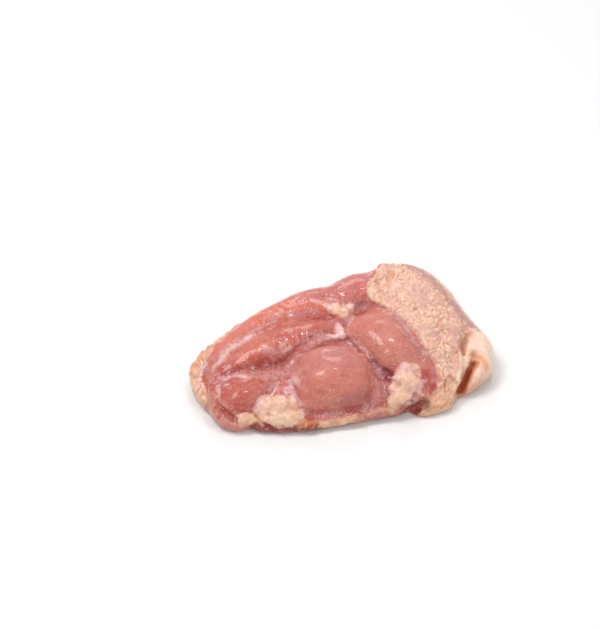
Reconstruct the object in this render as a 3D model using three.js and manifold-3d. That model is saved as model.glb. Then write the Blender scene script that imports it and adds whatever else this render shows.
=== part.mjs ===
// A raw boneless chicken thigh with its skin on, lying skin side down, so that the cut meat faces up.
// Millimetres, +Z up. X runs along the thigh, Y across it, and the origin is under its middle, on the board.
//
// Meat, fat and skin have grown together, so the thigh is one solid. Its shape is a distance field, that is
// a function that says how far a point lies outside the thigh, and it is put together from
//   - lobes, which are blunt ellipsoids: the muscles, and the lumps of fat between them;
//   - rolls, which are round bodies along a curve: the rims and the curled edges of the skin.
// These flow into each other, which leaves the furrows between the muscles. The tables place them over the
// origin but for a millimetre, and the finished solid is moved to stand exactly on it.
import * as THREE from "three";
import { ImprovedNoise } from "three/addons/math/ImprovedNoise.js";
import Module from "manifold-3d";

const wasm = await Module();
wasm.setup();

// ---------------------------------------------------------------------------------------------
// Driving dimensions
// ---------------------------------------------------------------------------------------------

const FACET = 2.2; // length of a facet's edge
const FLAT_ENOUGH = 0.13; // how far a facet may lie off the shape when facets are joined
const FURROW = 1.4; // how far two muscles flow into each other where they meet
const FUSED = 2.4; // how far fat and skin flow into what they have grown on
const SOFT_EDGE = 5; // how far the rim of the soft underside is rounded
const TUCK = 0.55; // how far below its middle a muscle goes on narrowing, as a share of its half height

// Lobes. at: middle; half: half of length, width and height; turn: degrees about Z; lean: degrees that the
// +X end goes up; full: how blunt, where 2 is an ellipsoid.
const MUSCLES = {
  core: { at: [-9.5, 6, 2], half: [50, 31, 15.5], turn: -5, full: 2.5 },
  long: { at: [-29.5, 14.5, 11], half: [35, 11.5, 14.5], turn: -4, lean: 11, full: 2.2 },
  back: { at: [-21, 29.5, 9.5], half: [42, 12.5, 16.5], turn: 9, lean: 7, full: 2.3 },
  end: { at: [-51.8, 0, 6], half: [15.5, 12, 12.5], turn: 8, full: 2.2 },
  middle: { at: [-12, -12.5, 9], half: [19, 15.5, 17], turn: -24, full: 2.3 },
  cross: { at: [19.5, -3.5, 10], half: [22, 15, 17.8], turn: 103, lean: 8, full: 2.25 },
  strip: { at: [19, 30, 12.5], half: [24, 11.5, 16.5], turn: 12, full: 2.3 },
  front: { at: [1.5, -20, 2], half: [24, 11, 11], turn: -6, full: 2.3 },
  wrapped: { at: [41.5, 1.6, 9.3], half: [42, 23.7, 19.4], turn: 88, lean: 12, full: 2.2 },
  wrapped_front: { at: [27.8, -28.9, 0], half: [15.8, 16, 13], full: 2.3 },
};
const FAT = {
  joint: { at: [16, -28.5, 9], half: [11, 7, 8], turn: 32, lean: 25, full: 2.2 },
  cleft: { at: [-39.5, -10.5, 8.5], half: [4.5, 7.5, 7], turn: -8, full: 2 },
  cleft_foot: { at: [-40.5, -16, 4.5], half: [12, 5.5, 5.5], turn: -33, full: 2 },
  corner: { at: [-55, -9.5, 3.5], half: [5, 3.5, 3.5], turn: -20, full: 2 },
  seam: { at: [7.5, 16, 22], half: [6.5, 4, 3.5], turn: 30, full: 2 },
  knot: { at: [1.5, 7.5, 18.5], half: [5.5, 4, 4], turn: 40, full: 2 },
};

// Rolls: a curve, and the radius of the body along it.
const ROLLS = {
  curl: {
    path: [[58.5, -6, 12], [61.5, -14, 11], [61, -23, 9.5], [56, -30.5, 8], [45.5, -33, 6.5]],
    radius: 6,
  },
  curl_tongue: { path: [[51.5, -18, 14], [50.5, -23, 12], [47.5, -28, 9]], radius: 2.2 },
  flap_lip: { path: [[43.5, 33, 25], [35.5, 29.5, 27], [28.5, 24, 26], [25.5, 15, 25]], radius: 3.4 },
  left_rim: {
    path: [[-44.5, 33, 13], [-56, 32, 9], [-65, 24, 5], [-66, 13, 4], [-64.5, 4, 3]],
    radius: 3.4,
  },
  end_rim: { path: [[-58.5, 14, 12], [-63.5, 5, 9], [-64, -4.5, 4.5], [-60, -9.5, 3.5]], radius: 4.2 },
  front_rim: {
    path: [[-51.5, -15.2, 3], [-38, -22.6, 3], [-16.5, -28.5, 4], [0.5, -32.6, 4], [10.5, -34.7, 3.5]],
    radius: 3,
  },
};

// Creases are rolls that are cut out.
const CREASES = {
  curl: {
    path: [[55.5, -18, 20], [50.5, -25, 17.5], [49.5, -31, 14], [44.5, -37, 9], [38.5, -41, 5]],
    radius: 2.2,
  },
  left_hollow: { path: [[-58.5, 1, 12], [-58.5, -4, 8], [-55.5, -7, 6]], radius: 1.6 },
};

// Lumps all over the surface.
const LUMP_PITCH = 9;
const LUMP_HEIGHT = 0.5;

const ROOM = { min: [-90, -60, -3], max: [90, 70, 45] }; // holds the whole thigh

// ---------------------------------------------------------------------------------------------
// Distance fields: each function makes one, which is then called as field(point)
// ---------------------------------------------------------------------------------------------

// A blunt ellipsoid that goes straight down below the height lowest, counted from its middle.
function lobe({ at, half, turn = 0, lean = 0, full }, lowest = -Infinity) {
  const rise = -THREE.MathUtils.degToRad(lean);
  const swing = THREE.MathUtils.degToRad(turn);
  const pose = new THREE.Matrix4().makeRotationFromEuler(new THREE.Euler(0, rise, swing, "ZYX"));
  const toLobe = pose.setPosition(...at).invert();
  const local = new THREE.Vector3();
  return (point) => {
    local.copy(point).applyMatrix4(toLobe);
    local.z = Math.max(local.z, lowest);
    const shares = local.toArray().map((place, axis) => Math.abs(place) / half[axis]);
    const size = shares.reduce((sum, share) => sum + share ** full, 0) ** (1 / full);
    if (size === 0) return -Math.min(...half);
    const slopes = shares.map((share, axis) => (share / size) ** (full - 1) / half[axis]);
    return (size - 1) / Math.hypot(...slopes);
  };
}

function roll({ path, radius }) {
  const curve = new THREE.CatmullRomCurve3(path.map((spot) => new THREE.Vector3(...spot)));
  const spots = curve.getPoints(3 * path.length);
  const stretches = spots.slice(1).map((spot, i) => new THREE.Line3(spots[i], spot));
  const nearest = new THREE.Vector3();
  return (point) => {
    const gaps = stretches.map((line) => line.closestPointToPoint(point, true, nearest).distanceTo(point));
    return Math.min(...gaps) - radius;
  };
}

// The smaller of two distances, rounded over a reach where they are alike, so that two bodies flow together.
function joined(a, b, reach) {
  const alike = Math.max(reach - Math.abs(a - b), 0) / reach;
  return Math.min(a, b) - (alike * alike * reach) / 4;
}

// Distance a with what lies inside distance b taken away, and the rim of the cut rounded over a reach.
function cutBy(a, b, reach) {
  return -joined(-a, b, reach);
}

// ---------------------------------------------------------------------------------------------
// The thigh
// ---------------------------------------------------------------------------------------------

const muscles = Object.values(MUSCLES).map((muscle) => lobe(muscle, -TUCK * muscle.half[2]));
const grownOn = [...Object.values(FAT).map((fat) => lobe(fat)), ...Object.values(ROLLS).map(roll)];
const creases = Object.values(CREASES).map(roll);
const noise = new ImprovedNoise();
const point = new THREE.Vector3();

function thighField(x, y, z) {
  point.set(x, y, z);
  const meat = muscles.map((muscle) => muscle(point)).reduce((a, b) => joined(a, b, FURROW));
  const onBoard = cutBy(meat, z, SOFT_EDGE);
  const whole = grownOn.reduce((sofar, body) => joined(sofar, body(point), FUSED), onBoard);
  const creased = creases.reduce((sofar, crease) => cutBy(sofar, crease(point), FURROW), whole);
  const lumps = LUMP_HEIGHT * noise.noise(x / LUMP_PITCH, y / LUMP_PITCH, z / LUMP_PITCH);
  return Math.max(creased + lumps, -z);
}

// manifold-3d takes a field that is positive inside.
const found = wasm.Manifold.levelSet(([x, y, z]) => -thighField(x, y, z), ROOM, FACET).simplify(FLAT_ENOUGH);
const [largest] = found.decompose().sort((a, b) => b.volume() - a.volume());
const { min, max } = largest.boundingBox();
const thigh = largest.translate([-(min[0] + max[0]) / 2, -(min[1] + max[1]) / 2, -min[2]]);

function geometryOf(solid) {
  const { vertProperties, triVerts } = solid.getMesh();
  const geometry = new THREE.BufferGeometry();
  geometry.setAttribute("position", new THREE.BufferAttribute(vertProperties, 3));
  geometry.setIndex(new THREE.BufferAttribute(triVerts, 1));
  geometry.computeVertexNormals();
  return geometry;
}

const meatAndSkin = new THREE.MeshStandardMaterial({ color: 0xd38b7d, roughness: 0.35, metalness: 0 });
const mesh = new THREE.Mesh(geometryOf(thigh), meatAndSkin);
mesh.name = "chicken_thigh";

const part = new THREE.Group();
part.add(mesh);

export default part;
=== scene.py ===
import math

import bpy
import numpy as np
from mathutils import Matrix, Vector, noise
from mathutils.bvhtree import BVHTree
from mathutils.kdtree import KDTree


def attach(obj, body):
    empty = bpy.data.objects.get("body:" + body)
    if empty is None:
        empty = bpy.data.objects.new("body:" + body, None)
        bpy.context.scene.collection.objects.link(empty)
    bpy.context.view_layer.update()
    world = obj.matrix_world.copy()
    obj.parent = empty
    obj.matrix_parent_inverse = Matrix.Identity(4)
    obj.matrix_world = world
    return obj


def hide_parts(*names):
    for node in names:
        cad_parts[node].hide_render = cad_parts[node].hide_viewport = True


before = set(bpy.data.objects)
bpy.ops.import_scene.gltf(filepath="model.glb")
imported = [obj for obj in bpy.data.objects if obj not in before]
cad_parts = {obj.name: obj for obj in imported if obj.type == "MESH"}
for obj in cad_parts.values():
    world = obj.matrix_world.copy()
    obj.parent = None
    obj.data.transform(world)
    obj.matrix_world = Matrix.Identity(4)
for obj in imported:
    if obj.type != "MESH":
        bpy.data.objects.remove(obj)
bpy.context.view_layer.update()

# A raw boneless chicken thigh with its skin on, lying skin side down, so that the cut meat faces up.
# The imported solid gives its form. A copy of it gets deep hollows and lumps of fat, and is remeshed into one
# fine surface. Bulges, seams, rims and lobules are then worked into that surface, and the shares of tissue
# and the colours that are painted on it steer the material. The tables are in millimetres, in the frame of
# the imported solid. Tones are as seen on a screen, 0 to 255.

# Part of the painted colour is painted light: shade in hollows, grooves, gaps and on low sides, and glints on
# crests and wrinkles.
MM = 0.001

# ---- Form ----

COARSE = 0.9  # pitch of the mesh that the deep hollows are pushed into
COARSE_RELAXED = 14  # passes that take its facets out
FINE = 0.6  # pitch of the finished mesh
FINE_RELAXED = 7  # passes that take its facets out
RELAXING = 0.5  # how far a pass moves a vertex to the middle of its neighbours, as a share

# Hollows that are pushed in deep: path, half width, depth. All go in the same way.
INWARD = (0.3, 0.78, -0.55)
HOLLOW_SPREAD = 1.6  # how far a hollow reaches, in half widths
HOLLOWS = {
    "curl end": ([(56, -28.5, 15), (54.5, -29.8, 14.3), (52.7, -31.8, 12.6)], 2.0, 1.5),
    "curl": ([(52.5, -32.2, 12.3), (50, -34, 10), (47, -36, 7.5), (42.5, -38, 5)], 2.0, 6.0),
    "curl crease": ([(60, -17.5, 18), (56, -20, 17.5), (52.5, -22.5, 16.5), (50.5, -26, 15)], 1.5, 2.0),
    "gap under the flap": ([(21.5, -40.5, 7), (19, -40, 5.5), (16.5, -39, 4), (13.5, -38, 2.5)], 2.2, 4.5),
    "left hollow": ([(-64, 24, 8), (-65, 20, 7.5), (-65.5, 16, 7)], 1.5, 1.6),
    "end hollow": ([(-65.5, -3, 11), (-64.5, -6.5, 10), (-63, -8.5, 9), (-61, -11, 7.5)], 1.6, 1.8),
}

# Lumps of fat: a place on the surface, and a radius.
FAT_LUMPS = {
    "joint": [
        ((16, -28.5, 17), 3.8), ((20.5, -25, 18), 2.6), ((24.5, -25.5, 17), 2.4), ((14, -26.5, 16.5), 2.2),
        ((18.5, -32, 15.5), 5.0), ((25.5, -29.5, 15), 2.4), ((24.5, -33, 13), 2.8), ((21.5, -35.5, 11), 2.4),
        ((11.5, -34.5, 12), 3.6), ((8, -34.5, 8.5), 3.0), ((15.5, -36, 10), 3.0), ((10.5, -31, 13.5), 2.4),
    ],
    "cleft": [
        ((-44.5, -12.5, 10.5), 4.8), ((-40, -16, 12.5), 4.6), ((-34.5, -17, 11.5), 3.2), ((-48, -15, 7), 3.6),
        ((-43.5, -18.5, 8), 4.2), ((-38, -21, 8), 4.0), ((-33, -22.5, 8), 3.0), ((-49, -11.5, 8.5), 2.6),
        ((-48, -16.5, 7), 2.2), ((-44, -20, 7.2), 2.6), ((-39.5, -22.3, 7.4), 2.8), ((-35, -23.3, 7.6), 2.2),
    ],
    "corner": [((-57.5, -12, 7.2), 3.0), ((-53.5, -12.8, 6.2), 2.8), ((-55.5, -11, 8.5), 1.7),
               ((-51.5, -14, 5), 2.0)],
    "left": [((-52, 33.5, 13.5), 1.6), ((-57.5, 32, 12), 2.8), ((-61.5, 30.5, 9.5), 1.8),
             ((-64, 26.5, 9), 2.6), ((-66, 21.5, 7.5), 1.5), ((-66.5, 17.5, 7.5), 2.1)],
    "seam": [((7, 21, 24), 3.0), ((9.5, 17, 25.3), 3.0), ((14.5, 19, 23), 2.4)],
    "knot": [((4, 8.5, 23), 1.9), ((3.3, 5, 21.5), 1.7)],
    "beads": [((-14.5, 34.5, 26), 1.1), ((-3, 33.5, 27), 1.2), ((7.5, 23.5, 26), 1.3),
              ((5.5, 30.5, 26.5), 1.4), ((-26, 33, 25), 1.1), ((12, 29, 27), 1.0), ((17, 32, 27), 1.1)],
    "flap": [((39, 35, 28), 3.4), ((34, 30, 30), 3.0), ((29, 25.2, 29), 3.6), ((26, 20, 28), 2.6),
             ((40, 28, 29), 3.2), ((34.5, 25.5, 30), 2.4), ((25.8, 14, 27.5), 2.2), ((28, 9.5, 27), 2.4),
             ((29.3, 4.5, 27), 2.0), ((30.3, -1, 26.5), 1.8)],
    "tongue": [((53, -27.5, 15.5), 1.9), ((51, -28.5, 14), 1.8), ((49.5, -30, 12.5), 1.5)],
}
LUMP_SHARE = 0.75  # height of a lump, as a share of its radius
LOW_SHARE = 0.55  # the same on the flap, which is the highest place
LUMP_SUNK = 0.2  # how far its middle lies under the surface, as a share of its radius
FAT_NAMES = ("joint", "cleft", "corner", "left", "seam", "knot")  # the lumps that are coloured as fat

# Rims that stand proud of the surface: path, reach, height.
RIMS = {
    "front": (
        [(-35, -25.5, 5.5), (-30.5, -27.5, 4.2), (-21.5, -29.8, 4), (-14.5, -31.3, 4.4), (-8, -32.5, 5.2)],
        3.0, 0.8,
    ),
    "left": (
        [(-50, 32.5, 15.5), (-55, 31.5, 13.5), (-59, 29.5, 11.5), (-62.5, 27, 9.5), (-65, 23.5, 8),
         (-66.5, 18, 7.5), (-67.8, 12, 6)],
        4.2, 1.0,
    ),
    "back": (
        [(-50, 34.5, 14), (-40, 37, 16), (-30, 39, 18), (-20, 40.8, 18.5), (-10, 42, 20), (0, 42.6, 20.5),
         (10, 42, 19.5), (20, 41, 18.5), (30, 41.5, 20), (36, 40, 21.5)],
        3.6, 0.6,
    ),
    "end": (
        [(-65.5, 17, 8), (-66.5, 12.5, 7.5), (-67.5, 9, 6)],
        3.0, 0.6,
    ),
    "flap": (
        [(41, 36.5, 27), (36, 31.5, 29.5), (33, 27, 30), (28.5, 25, 29), (26.5, 21.5, 28.5), (25, 17, 28),
         (25.5, 13.5, 27.5), (28, 10.5, 27), (30, 5, 27)],
        3.2, 0.7,
    ),
    "strip": ([(46, -31, 16.5), (44.5, -34, 13.5), (42, -36.5, 10.5), (39.5, -38.5, 8)], 2.2, 0.8),
    "strip lip": ([(51, -31, 12), (48.5, -33.5, 9.8), (46, -35.5, 8), (42, -38, 5.8)], 1.6, 0.9),
}
FAT_RIMS = ("front", "left", "back", "end")  # the rims that are coloured as fat
RIM_SPREAD = 1.3  # how far that colour reaches, in reaches of the rim

# Soft bulges: path, reach, height.
BULGES = {
    "outside of the flap": (
        [(58, 21, 25), (61, 13, 23.5), (62.5, 6, 22), (63.5, -2, 20.5), (65, -9, 18)],
        9.0, 0.7,
    ),
    "behind the middle muscle": ([(-19, 0.5, 20.5), (-13, 0, 22), (-7, -0.5, 22.5), (0, -3, 22)], 6.5, 2.2),
    "right of the middle muscle": ([(4.5, -12, 18.5), (5.7, -17, 16), (5.7, -23, 13.5)], 5.0, 1.6),
    "left of the middle muscle": ([(-27, -3, 18.5), (-28.5, -9, 17), (-28.5, -15, 15)], 4.0, 1.0),
    "beside the middle muscle": ([(0, -3, 21.5), (3, -6.5, 20.5), (4, -11, 20)], 4.0, 1.0),
}

# Fans of fine wrinkles in the film on the meat: where the lines start and end, and how many there are.
FANS = [
    ([(-34, 13, 24.5), (-28, 12, 25.5), (-20, 11.5, 26), (-13, 11, 26)],
     [(-31, 6.5, 21.5), (-26, 6, 22), (-20, 6.5, 24), (-14, 6.5, 24)], 13),
    ([(-53, 23, 17.5), (-44, 25.5, 21), (-34, 26, 23)],
     [(-51, 18.5, 18.5), (-43, 20, 21.5), (-34, 20, 23.5)], 12),
    ([(-51, 1, 18), (-45, -1.5, 17)], [(-49.5, -5.5, 16.5), (-44, -7.5, 15)], 6),
    ([(-25.5, -1, 19), (-24.5, -8, 21), (-23, -16, 20)],
     [(-29, -2, 16.5), (-29, -9, 16.5), (-28, -17, 15.5)], 9),
    ([(9.5, 2, 23), (11.5, -6, 22.5), (13, -13, 20)], [(6.5, 0, 20), (7.5, -7, 19), (9, -14, 17)], 9),
    ([(25, -4, 27), (27, -14, 24.5)], [(30, -6, 25.8), (31, -16, 23)], 6),
    ([(-22, 33, 26), (-7, 34, 27)], [(-20, 28, 26), (-6, 28, 26)], 9),
    ([(-16, -20, 22), (-6, -22, 21)], [(-17, -24.5, 18), (-6, -26, 17)], 6),
]

# Strokes of a brush along the surface: path, reach, height, share of the tone, and the tone. Some of them
# paint shade, light or glints.
STROKES = {
    "film left": (
        [(-56, 9.5, 15), (-53, 8.8, 16), (-50.5, 6.5, 17), (-49, 3.5, 18.3)],
        1.5, 0.25, 0.7, "WHITE FILM",
    ),
    "film left spread": (
        [(-46, 5, 17.5), (-41.5, 3.5, 16.8), (-37, 2.5, 16.5), (-33.5, 2, 16.5)],
        3.4, 0.1, 0.5, "PALE FILM",
    ),
    # white film streak, with a painted glint along it
    "film streak": (
        [(-57.5, 3.5, 17), (-59, 5.5, 15.7), (-61.5, 6, 14.5), (-62.5, 2, 14.8), (-64, 1, 13.5)],
        1.1, 0.2, 0.5, "WHITE FILM",
    ),
    "left film": (
        [(-59, 24.5, 12.5), (-61, 24.5, 9.8), (-62.5, 23, 8.5), (-64, 20, 8), (-65, 16.5, 7.8),
         (-65.5, 13.5, 7.2)],
        1.2, 0.2, 0.6, "WHITE FILM",
    ),
    "crest": (
        [(-54.5, 18, 17), (-51.5, 21, 18), (-47, 22, 20), (-42.5, 22.5, 21.5), (-38, 22, 22.5),
         (-33, 23, 23.3)],
        2.8, 0.1, 0.5, "PALE FILM",
    ),
    # white film on the crest of the long muscle, with painted glints on it
    "crest white": ([(-54.3, 18, 16.8), (-52.5, 20, 17.6), (-51, 21, 18.2)], 1.2, 0.2, 0.5, "WHITE FILM"),
    "crest white 2": (
        [(-48.5, 21.7, 19.4), (-45.5, 22, 20.5), (-43.5, 21.5, 21.3)],
        1.3, 0.2, 0.5, "WHITE FILM",
    ),
    "crest white 3": ([(-41, 22.5, 21.8), (-39, 22, 22.3), (-36.5, 22.8, 22.7)], 1.1, 0.2, 0.5, "WHITE FILM"),
    "crest end": ([(-58, 15, 14), (-57, 18, 15), (-55, 19, 16)], 1.8, 0.1, 0.45, "WHITE FILM"),
    # painted light: broad paler salmon patches on the long and middle muscles
    "long glow": ([(-46, 11, 21), (-40, 12.5, 23), (-34, 16, 24.5)], 5.0, 0.0, 0.4, "SALMON"),
    "middle glow": ([(-27.5, -18.5, 13.5), (-24, -22.5, 12.5), (-17, -25, 14)], 5.0, 0.0, 0.55, "SALMON"),
    "middle glow 2": ([(-20, -18, 21), (-12, -22, 19), (-4, -23, 18)], 5.0, 0.0, 0.45, "SALMON"),
    "plum": ([(-13, -28, 13), (-8, -29.3, 11), (-3, -28.5, 12)], 4.0, 0.0, 0.5, "PLUM"),
    "front lilac": ([(-31, -23.8, 8), (-25, -26.5, 7.3), (-17, -28.3, 7.3)], 1.7, 0.2, 0.6, "PALE FILM"),
    "front far": (
        [(-7, -32, 6), (-1, -33.3, 6.5), (5, -35.3, 6), (9.5, -37, 5.5)],
        3.6, 0.3, 0.85, "RIM PINK",
    ),
    "front beads": ([(-3, -33, 5.5), (1, -33.3, 6.8), (3.5, -34, 7)], 1.0, 0.3, 0.6, "YELLOW FAT"),
    # dark red line under the front: the red underside, darkened as painted shade
    "under line": (
        [(-28, -29.8, 1.5), (-18, -31.8, 1.5), (-8, -34, 1.5), (2, -36, 1.8), (10, -38, 2)],
        1.6, -0.2, 0.8, "DARK FILM",
    ),
    "band streak": (
        [(-0.5, 29.5, 26.7), (1.5, 27.5, 26), (4, 24.5, 25), (5, 22.5, 24)],
        1.2, 0.25, 0.5, "WHITE FILM",
    ),
    "flap dip": (
        [(41.5, 30.5, 29.5), (41, 27.5, 29.7), (39, 25, 30), (37, 22.5, 30)],
        1.5, -0.7, 0.6, "CURL SHADE",
    ),
    "flap dip 2": ([(33.5, 29, 30), (33, 26.5, 30), (31, 23, 29.5)], 1.2, -0.5, 0.4, "CURL SHADE"),
    "flap lilac": ([(43, 9, 29), (46, 6.5, 28.5), (44, 2, 28.5)], 3.4, -0.1, 0.5, "LILAC SKIN"),
    "middle lilac": ([(-12, -9, 26), (-9, -12, 25.5), (-6, -13, 25)], 3.6, 0.0, 0.45, "LILAC MEAT"),
    "strip film": (
        [(23.5, 16, 25.5), (20, 17.5, 22), (15.5, 18.5, 22), (11, 13, 22.7)],
        2.2, 0.15, 0.55, "PALE FILM",
    ),
    "under the long one": (
        [(-35, 11, 24), (-33, 8, 23), (-31, 6.5, 21.5), (-28.5, 6.5, 22.5), (-25, 7.5, 24)],
        2.4, 0.1, 0.35, "WHITE FILM",
    ),
    "middle edge": (
        [(-24, 1, 21), (-27.5, -3, 19), (-29, -7, 17.5), (-27.5, -11, 17)],
        1.6, 0.15, 0.5, "WHITE FILM",
    ),
    "knot": ([(-3, 6.3, 22.7), (0, 5.6, 22), (3.5, 4.5, 21.5)], 1.1, 0.3, 0.75, "WHITE FILM"),
    "knot film": ([(-13.5, 5.5, 23), (-9, 6, 23.5), (-4.5, 6.5, 23)], 1.7, 0.1, 0.5, "PALE FILM"),
    "knot up": ([(1.5, 6.5, 22), (3.8, 8.5, 23), (4, 10.5, 24)], 1.7, 0.2, 0.6, "WHITE FILM"),
    "cross film": (
        [(5.5, 1.5, 19), (6.3, -4.5, 18.5), (7, -9.5, 17), (8.5, -14.5, 16)],
        1.5, 0.2, 0.6, "LILAC",
    ),
    "cross threads": ([(7, -4, 20.5), (8, -8, 20), (9, -12, 19)], 1.0, 0.25, 0.6, "WHITE FILM"),
    "joint film": ([(9, -16, 16), (9.5, -20, 14), (9, -25, 12.5), (7, -29, 10)], 2.4, 0.2, 0.6, "LILAC"),
    # painted shade: purple in the pit beside the joint fat, and in the creases and the eye below it
    "joint pit": ([(11.5, -21, 14.5), (13, -23.5, 14)], 2.4, -0.8, 0.75, "PIT"),
    "cleft film": (
        [(-37.5, -4.5, 15), (-40, -8.5, 14.5), (-37, -10.5, 14), (-34, -12, 13.8), (-33, -8, 14.8)],
        3.4, 0.2, 0.05, "PALE FILM",
    ),
    "cleft border": (
        [(-36, -4.5, 15.5), (-40, -8.7, 15), (-43.5, -9.7, 13.5), (-47, -10.7, 12)],
        0.9, 0.35, 0.6, "WHITE FILM",
    ),
    "cleft crease": (
        [(-34, -2.5, 15.5), (-38.5, -6, 15), (-42.5, -8.3, 13.5), (-46.5, -9.3, 12)],
        0.9, -0.4, 0.6, "GREY FILM",
    ),
    "cleft border 2": (
        [(-30.5, -6.5, 15.7), (-31.5, -11, 14.5), (-32.5, -15, 13), (-33, -18, 11.3)],
        0.9, 0.35, 0.5, "WHITE FILM",
    ),
    "cleft shade": ([(-35, -8, 15), (-35.5, -12, 14.3), (-35.8, -14.5, 13.3)], 1.8, -0.3, 0.6, "LILAC"),
    "cleft edge": (
        [(-43.5, -9.5, 13), (-47, -10, 12), (-49.3, -11, 10), (-50, -13.5, 7.5)],
        2.2, 0.3, 0.6, "PINK FILM",
    ),
    "cleft right": ([(-34, -11, 14), (-33.3, -14.5, 13), (-32, -18, 11.3)], 2.0, 0.3, 0.6, "PINK FILM"),
    "cleft thread": ([(-39, -17.5, 11.8), (-36, -18, 10.8), (-33, -17.5, 11)], 0.9, 0.3, 0.6, "WHITE FILM"),
    "cleft orange": (
        [(-34.5, -24.8, 5.8), (-31.5, -24.5, 6.5), (-29, -25.5, 6)],
        1.6, -0.2, 0.6, "ORANGE FAT",
    ),
    "cleft yellow": (
        [(-49, -14.5, 6.5), (-45, -18.5, 7), (-41, -20, 7.5), (-36, -22, 7)],
        2.0, 0.1, 0.5, "YELLOW FAT",
    ),
    "corner yellow": ([(-58, -12, 7), (-55, -12.5, 7), (-51.5, -14, 5.5)], 2.6, 0.0, 0.6, "YELLOW FAT"),
    "joint top": ([(13, -27, 17.5), (16, -26, 18), (20, -25, 18)], 2.6, 0.2, 0.8, "PINK FILM"),
    "joint left": ([(11.5, -29, 15.5), (10.5, -31.5, 13.5)], 2.2, 0.2, 0.5, "PINK FILM"),
    "joint right": ([(24, -29, 16), (25.5, -32, 14), (22, -35.5, 12)], 2.4, 0.1, 0.8, "PINK FILM"),
    "joint left lobe": (
        [(15.5, -26.7, 17.3), (13, -28.7, 16.3), (11, -30.7, 15)],
        1.5, 0.35, 0.7, "PINK FILM",
    ),
    "joint crease": (
        [(18, -27.7, 17.5), (15.7, -30.3, 16.7), (12.5, -31.7, 15.2), (10, -32.4, 13.2)],
        0.8, -0.5, 0.7, "PIT",
    ),
    "joint ridge": (
        [(18, -29, 17.7), (15, -32, 16.2), (12, -33.2, 14.4), (9, -33.2, 11)],
        1.0, 0.45, 0.8, "WHITE FAT",
    ),
    "joint right crease": ([(23, -30, 15.7), (21.3, -33, 13.7), (20.5, -35.3, 11.2)], 0.8, -0.5, 0.6, "PIT"),
    "joint right lobe": ([(25, -30.5, 14), (24, -33.7, 12.7), (22.3, -35.8, 11)], 1.4, 0.3, 0.7, "PINK FILM"),
    "tongue white": ([(7.5, -32.3, 9.3), (8, -34.2, 8.3), (7.3, -35.5, 6.7)], 1.0, 0.4, 0.8, "WHITE FAT"),
    "cross glint": ([(29.7, -3, 25.7), (30.7, -8, 24.8), (31.3, -13, 23.7)], 0.7, 0.2, 0.5, "WHITE FILM"),
    "joint foot": ([(19, -36.5, 9.5), (15, -38, 8)], 2.2, -0.2, 0.7, "LILAC"),
    "tongue": ([(12, -35, 11.5), (9.5, -34.5, 9.8), (7.5, -35, 7.5)], 2.6, 0.4, 0.45, "YELLOW FAT"),
    "joint eye ring": (
        [(15, -37, 8.8), (16.5, -36, 9.6), (18, -37, 8.6), (16.5, -37.8, 7.6)],
        1.0, 0.4, 0.6, "PINK FILM",
    ),
    "joint eye": ([(16.2, -37, 8.5), (16.8, -37, 8.5)], 0.9, -0.5, 0.8, "PIT"),
    "cleft ridge": (
        [(-47.5, -12.3, 9.7), (-43, -12.7, 12.5), (-39.5, -14.7, 13.7)],
        1.2, 0.4, 0.6, "WHITE FAT",
    ),
    "cleft ridge 2": ([(-45.5, -16, 9.3), (-41.5, -18.8, 9), (-37, -20.5, 9)], 1.0, 0.4, 0.7, "WHITE FAT"),
    "cleft fold": ([(-46, -14, 10), (-42, -16.5, 10.7), (-38.5, -18.5, 10.5)], 0.9, -0.5, 0.5, "ORANGE FAT"),
    "cleft notch": (
        [(-51.5, -12.5, 7.5), (-50.3, -15, 6.3), (-48, -18.5, 5.3)],
        1.0, -0.7, 0.7, "ORANGE FAT",
    ),
    "cleft lump": ([(-44.5, -18, 8.5), (-41, -20.5, 8)], 2.4, 0.3, 0.8, "WHITE FAT"),
    "lip lump": ([(28, 22.5, 29.5), (26.3, 19, 29)], 2.0, 0.2, 0.8, "WHITE FAT"),
    "lip lump 2": ([(25.5, 16, 28.5), (27, 12.5, 28.5)], 1.8, 0.2, 0.8, "WHITE FAT"),
    "seam spread": ([(12, 17, 24.5), (15.5, 16, 25), (19, 16.5, 25)], 2.6, 0.2, 0.65, "PALE FAT"),
    "flap shade": (
        [(28.5, 1.5, 27.5), (29.5, -5, 27), (30.5, -10, 25.5), (31, -15, 23.5), (31, -19.5, 21.5),
         (31.5, -24, 19.5)],
        2.2, -0.2, 0.5, "GREY FILM",
    ),
    "cross lines": (
        [(25, -9, 27), (27, -13.5, 24.5), (29, -18, 21.5), (29.5, -22, 19)],
        0.9, 0.15, 0.6, "GREY FILM",
    ),
    # deep red low on the right: red meat there, deepened as painted shade
    "right meat": (
        [(27, -30, 14), (28, -33, 12.5), (27, -36, 11), (24.5, -37.5, 9.5)],
        3.4, 0.0, 0.75, "RED MEAT",
    ),
    # painted shade: deep red in the hollow at the end
    "end red": ([(-64.8, -5.5, 10), (-63, -8.5, 9), (-61, -11, 7.5)], 1.7, -0.5, 0.75, "RED MEAT"),
    "end fold": (
        [(-67.3, 0, 9), (-67, -4.5, 7), (-65.5, -8.5, 5.8), (-62, -11.7, 5.2)],
        1.7, 0.4, 0.4, "PALE FILM",
    ),
    "end thread": (
        [(-64.5, 0.5, 13.2), (-63, -4, 13), (-61, -8.5, 11.5), (-59, -10.5, 9.5)],
        1.0, 0.25, 0.4, "PALE FILM",
    ),
    # the low side of the long muscle: its darker red, deepened as painted shade
    "long low": (
        [(-54, 13.5, 14.5), (-48, 12, 15.5), (-41, 10, 17), (-35, 7.5, 18.5), (-30, 6, 19)],
        4.2, 0.0, 0.75, "RED MEAT",
    ),
    # painted shade: deep red in the groove under the middle muscle
    "middle low": (
        [(-28, -24, 7), (-18, -27.5, 7), (-8, -30, 7.5), (0, -32, 7.5), (5, -32.5, 8)],
        2.4, -0.2, 0.5, "RED MEAT",
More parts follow.
